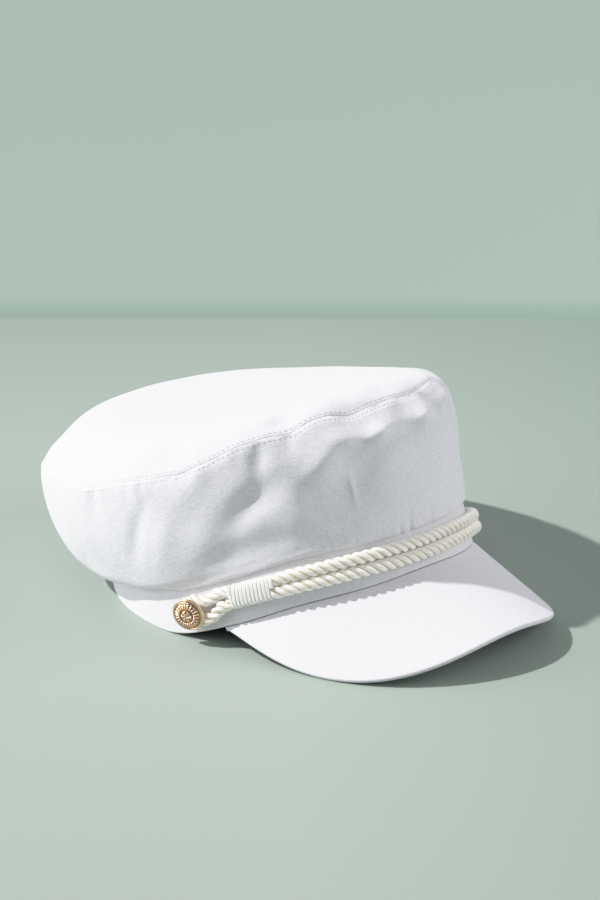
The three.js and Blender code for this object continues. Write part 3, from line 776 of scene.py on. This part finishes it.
def binding(name, side, material, node):
    """Cord wound round both strands; its turns lean, most of all the last one."""
    count = int(BINDING["turns"] * WINDING_STEPS)
    wind = np.linspace(0, 1, count)
    wide, thick = BINDING["cord_wide"], BINDING["cord_thick"]
    margin = np.degrees(wide / ROPE_RING)
    degrees = side * lerp(BINDING["start"] + margin, BINDING["end"] - margin, wind)
    turn = wind * BINDING["turns"] * 2 * np.pi
    radius = ROPE["bound_thick"] + thick
    straight = (BINDING["height"] / 2 - thick - radius) * np.clip(np.sin(turn) * 1.5, -1, 1)
    height = radius * np.sin(turn) + straight
    loose = uneven(turn[:, None] * np.array([1.0, 0.0, 0.0]), BINDING_UNEVEN)
    off = ROPE["radius"] + ROPE["stand_off"]
    last = smooth((wind - BINDING["last"]) / (1 - BINDING["last"]))
    slant = BINDING["lean"] + BINDING["last_lean"] * last
    degrees = degrees + side * (height * slant + loose * 0.5)
    path = by_rope(degrees, height, off + (radius + loose) * np.cos(turn))
    tangent = unit(np.gradient(path, axis=0))
    out = square_to(path - by_rope(degrees, straight, off), tangent)
    size = np.ones((1, count))
    points, faces = tubes(path[None], out[None], np.cross(tangent, out)[None], thick * size,
                          wide * 1.1 * size, CORD_SIDES)
    uv = cord_uv(len(points), CORD_SIDES, wide)
    make_piece(name, points, faces, material, "binding", node, uv=uv)


def button_profile():
    """Radius and height of each point from the shank's foot to the dome's top, and how many of them
    come before the dome."""
    radius, back, rise = BUTTON["radius"], BUTTON["back"], BUTTON["rise"]
    shank = [(BUTTON["shank"], 0.0), (BUTTON["shank"], back)]
    rim = [(radius - inward, back + up) for inward, up in BUTTON_RIM]
    share = np.linspace(DOME["reach"], 0.0, BUTTON_GRID[1])[:-1]
    height = back - DOME["sunk"] + (rise - DOME["flat"]) * np.sqrt(1 - share ** 2)
    dome = np.stack([radius * share, height], axis=-1)
    return np.concatenate([shank, rim, dome]), len(shank + rim)


def ring_of(shape, ring, turn, power):
    """Raised marks in a ring round a button's middle: ribs or petals."""
    marks = smooth(0.5 + shape["sharpness"] * np.cos(turn * shape["count"]))[:, None]
    fade = np.exp(-((ring - shape["place"]) / shape["half"]) ** power)
    return fade * (marks * shape["rise"] - shape["sink"])


def button(name, side, material, node):
    """A domed button with a rolled rim, a wreath of ribs and a small rosette."""
    around = BUTTON_GRID[0]
    profile, plain = button_profile()
    turn = np.linspace(0, 2 * np.pi, around, endpoint=False)
    ring = profile[:, 0] / BUTTON["radius"]
    lift = ring_of(RIBS, ring, turn, 6) + ring_of(PETALS, ring, turn, 4)
    for place, half, depth in GROOVES:
        lift -= depth * np.exp(-((ring - place) / half) ** 2)
    on_dome = np.arange(len(profile)) >= plain
    lift *= on_dome
    tilt = np.radians(BUTTON["tilt"])
    level_axis = outward(side * BUTTON["facing"])
    axis = level_axis * np.cos(tilt) - UP * np.sin(tilt)
    sideways = np.cross(UP, level_axis)
    upward = np.cross(axis, sideways)
    foot = on_band(side * BUTTON["angle"], BUTTON["height"], BUTTON["stand_off"])
    spread = sideways * np.cos(turn)[:, None] + upward * np.sin(turn)[:, None]
    points = (foot + spread[:, None] * profile[None, :, :1]
              + axis * (profile[None, :, 1] + lift)[..., None])
    size = len(profile)
    faces = loft(points, closed=False).tolist()
    faces += [(np.arange(around) * size + size - 1).tolist(), (np.arange(around)[::-1] * size).tolist()]
    bright = 0.3               # the plain rim is coloured like a part of the relief this high, in the gilt's painted shade
    height = np.broadcast_to(np.where(on_dome, lift, bright), points.shape[:2])
    # u carries the relief's height, which sets the gilt's painted shade
    uv = np.stack([height, np.zeros_like(height)], axis=-1).reshape(-1, 2)
    make_piece(name, points.reshape(-1, 3), faces, material, "gilt_button", node, uv=uv)


# Stage

VIEW = dict(azimuth=-43.5, elevation=19.0, lens=84.96, place=(-0.6975, -0.7371, 0.4208))
FLOOR_END = 0.509              # the floor's far edge, behind the middle of the cap
FLOOR_HALF = 4.0
# The greens: of the floor in the light's middle, far from it (a painted fall-off of light) and to the
# right (painted shade), and of the backdrop at its foot (painted shade where it meets the floor), just
# above it and high up (lighter there as painted light)
SAGE = dict(middle=(0.345, 0.405, 0.36), far=(0.1, 0.13, 0.11), right=(0.205, 0.275, 0.233),
            foot=(0.215, 0.295, 0.247), low=(0.28, 0.36, 0.307), high=(0.32, 0.407, 0.352))
KEY = dict(azimuth=-51.0, elevation=46.0, energy=3.9, angle=2.0, colour=(1.0, 0.985, 0.985))
SOFTBOXES = [
    dict(name="left", azimuth=-55.0, elevation=8.0, distance=2.0, size=1.6, power=29.0),
    dict(name="right", azimuth=137.0, elevation=24.0, distance=2.2, size=1.5, power=26.0),
]
SOFTBOX_COLOUR = (1.0, 0.985, 1.0)
SOFTBOX_AIM = 0.05             # the height that both are turned to
SKY = dict(low=(0.22, 0.245, 0.25), high=(0.38, 0.39, 0.415))
# What a brightness is shown as: bright whites ease off towards white, as a camera's do
TONES = [(0.3, 0.3), (0.6, 0.59), (0.8, 0.75), (1.0, 0.885), (1.25, 0.955)]
WHITE = 2.0


def toward(azimuth, elevation):
    """A direction; azimuth turns from +Y towards +X."""
    turn, rise = math.radians(azimuth), math.radians(elevation)
    return Vector((math.sin(turn) * math.cos(rise), math.cos(turn) * math.cos(rise), math.sin(rise)))


def aim(thing, back):
    """Turns a camera or light so that its own +Z points along back."""
    thing.rotation_mode = "QUATERNION"
    thing.rotation_quaternion = back.to_track_quat("Z", "Y")
    bpy.context.scene.collection.objects.link(thing)


def camera():
    data = bpy.data.cameras.new("camera")
    data.sensor_fit = "AUTO"
    data.sensor_width = 36.0
    data.lens = VIEW["lens"]
    data.clip_end = 50.0
    made = bpy.data.objects.new("camera", data)
    made.location = VIEW["place"]
    aim(made, toward(180 - VIEW["azimuth"], VIEW["elevation"]))
    bpy.context.scene.camera = made


def floor():
    """A sage green floor with a painted pool of light and painted shade, that meets a backdrop of the
    same green, painted on the floor behind the cap, in a soft line of painted shade.
    """
    material, nodes, links, shader = new_material("sage_floor")
    place = add_node(nodes, "ShaderNodeNewGeometry").outputs["Position"]
    turn = math.radians(VIEW["azimuth"])

    def along(x, y):
        dot = add_node(nodes, "ShaderNodeVectorMath", operation="DOT_PRODUCT")
        dot.inputs[1].default_value = (x, y, 0)
        links.new(place, dot.inputs[0])
        return dot.outputs["Value"]
    behind = along(-math.sin(turn), math.cos(turn))
    aside = along(math.cos(turn), math.sin(turn))

    def hill(value, centre, reach):
        offset = math_node(nodes, links, "SUBTRACT", value, centre)
        power = math_node(nodes, links, "POWER", math_node(nodes, links, "DIVIDE", offset, reach), 2.0)
        return math_node(nodes, links, "EXPONENT", math_node(nodes, links, "MULTIPLY", power, -1.0))
    # painted light: the floor is brighter in a band through the cap and dims far from it
    near = hill(behind, -0.06, 0.95)
    lit = two_tone(nodes, links, near, SAGE["far"], SAGE["middle"], 0.0, 1.0)
    # painted shade: darker and greener to the right, where the cap's shadow falls
    lit = two_tone(nodes, links, aside, lit, SAGE["right"], 0.0, 0.38)
    # painted shade: the backdrop is darkest at its foot, where it meets the floor, and painted light
    # makes it lighter higher up
    start, rise, end = FLOOR_END, FLOOR_END + 0.06, FLOOR_END + 2.0
    wall = two_tone(nodes, links, behind, SAGE["foot"], SAGE["low"], start, rise)
    wall = two_tone(nodes, links, behind, wall, SAGE["high"], rise, end)
    colour = two_tone(nodes, links, behind, lit, wall, start - 0.006, start + 0.002)
    links.new(colour, shader.inputs["Base Color"])
    shader.inputs["Roughness"].default_value = 0.85
    shader.inputs["Specular IOR Level"].default_value = 0.25
    mesh = bpy.data.meshes.new("floor")
    corners = [(x * FLOOR_HALF, y * FLOOR_HALF, 0) for x, y in ((-1, -1), (1, -1), (1, 1), (-1, 1))]
    mesh.from_pydata(corners, [], [(0, 1, 2, 3)])
    mesh.materials.append(material)
    made = bpy.data.objects.new("floor", mesh)
    bpy.context.scene.collection.objects.link(made)


def softbox(name, azimuth, elevation, distance, size, power):
    data = bpy.data.lights.new(name, "AREA")
    data.shape = "SQUARE"
    data.size = size
    data.energy = power
    data.color = SOFTBOX_COLOUR
    made = bpy.data.objects.new(name, data)
    away = toward(azimuth, elevation)
    made.location = away * distance + Vector((0, 0, SOFTBOX_AIM))
    aim(made, away)


def lights():
    data = bpy.data.lights.new("key", "SUN")
    data.energy = KEY["energy"]
    data.angle = math.radians(KEY["angle"])
    data.color = KEY["colour"]
    aim(bpy.data.objects.new("key", data), toward(KEY["azimuth"], KEY["elevation"]))
    for box in SOFTBOXES:
        softbox(**box)
    world = bpy.data.worlds.new("studio")
    world.use_nodes = True
    nodes, links = world.node_tree.nodes, world.node_tree.links
    split = add_node(nodes, "ShaderNodeSeparateXYZ")
    links.new(add_node(nodes, "ShaderNodeTexCoord").outputs["Generated"], split.inputs[0])
    sky = two_tone(nodes, links, split.outputs[2], SKY["low"], SKY["high"], 0.0, 1.0)
    links.new(sky, nodes["Background"].inputs["Color"])
    bpy.context.scene.world = world


def tone():
    view = bpy.context.scene.view_settings
    view.view_transform = "Standard"
    view.use_curve_mapping = True
    mapping = view.curve_mapping
    mapping.white_level = (WHITE, WHITE, WHITE)
    curve = mapping.curves[3]
    for value, shown in TONES:
        curve.points.new(value / WHITE, shown)
    mapping.update()


camera()
floor()
lights()
tone()

crown_cotton = cotton_material("crown_cotton", (0.795, 0.78, 0.83))
band_cotton = cotton_material("band_cotton", (0.75, 0.74, 0.775), 0.7)
peak_cotton = cotton_material("peak_cotton", (0.745, 0.735, 0.775), 0.7)
# the third colour of each cord is its painted groove shade, and the last number of the rope and the
# binding their painted glow
thread = cord_material("white_thread", (0.84, 0.83, 0.86), (0.74, 0.73, 0.76), 0.6, 0.2)
rope_satin = cord_material("rope_satin", (1.0, 0.98, 0.91), (0.70, 0.62, 0.48), 0.3, 1.2, 0.13)
binding_cord = cord_material("binding_cord", (1.0, 0.99, 0.95), (0.70, 0.66, 0.58), 0.5, 0.6, 0.07)
gilt = gilt_material()

crown_side(crown_cotton, thread)
crown_top(crown_cotton, thread)
band(band_cotton)
peak(peak_cotton)
rope(rope_satin)
for side, word in ((-1, "right"), (1, "left")):
    binding(f"rope_whipping_{word}", side, binding_cord, f"rope_binding_{word}")
    button(f"gilt_button_{word}", side, gilt, f"button_{word}")
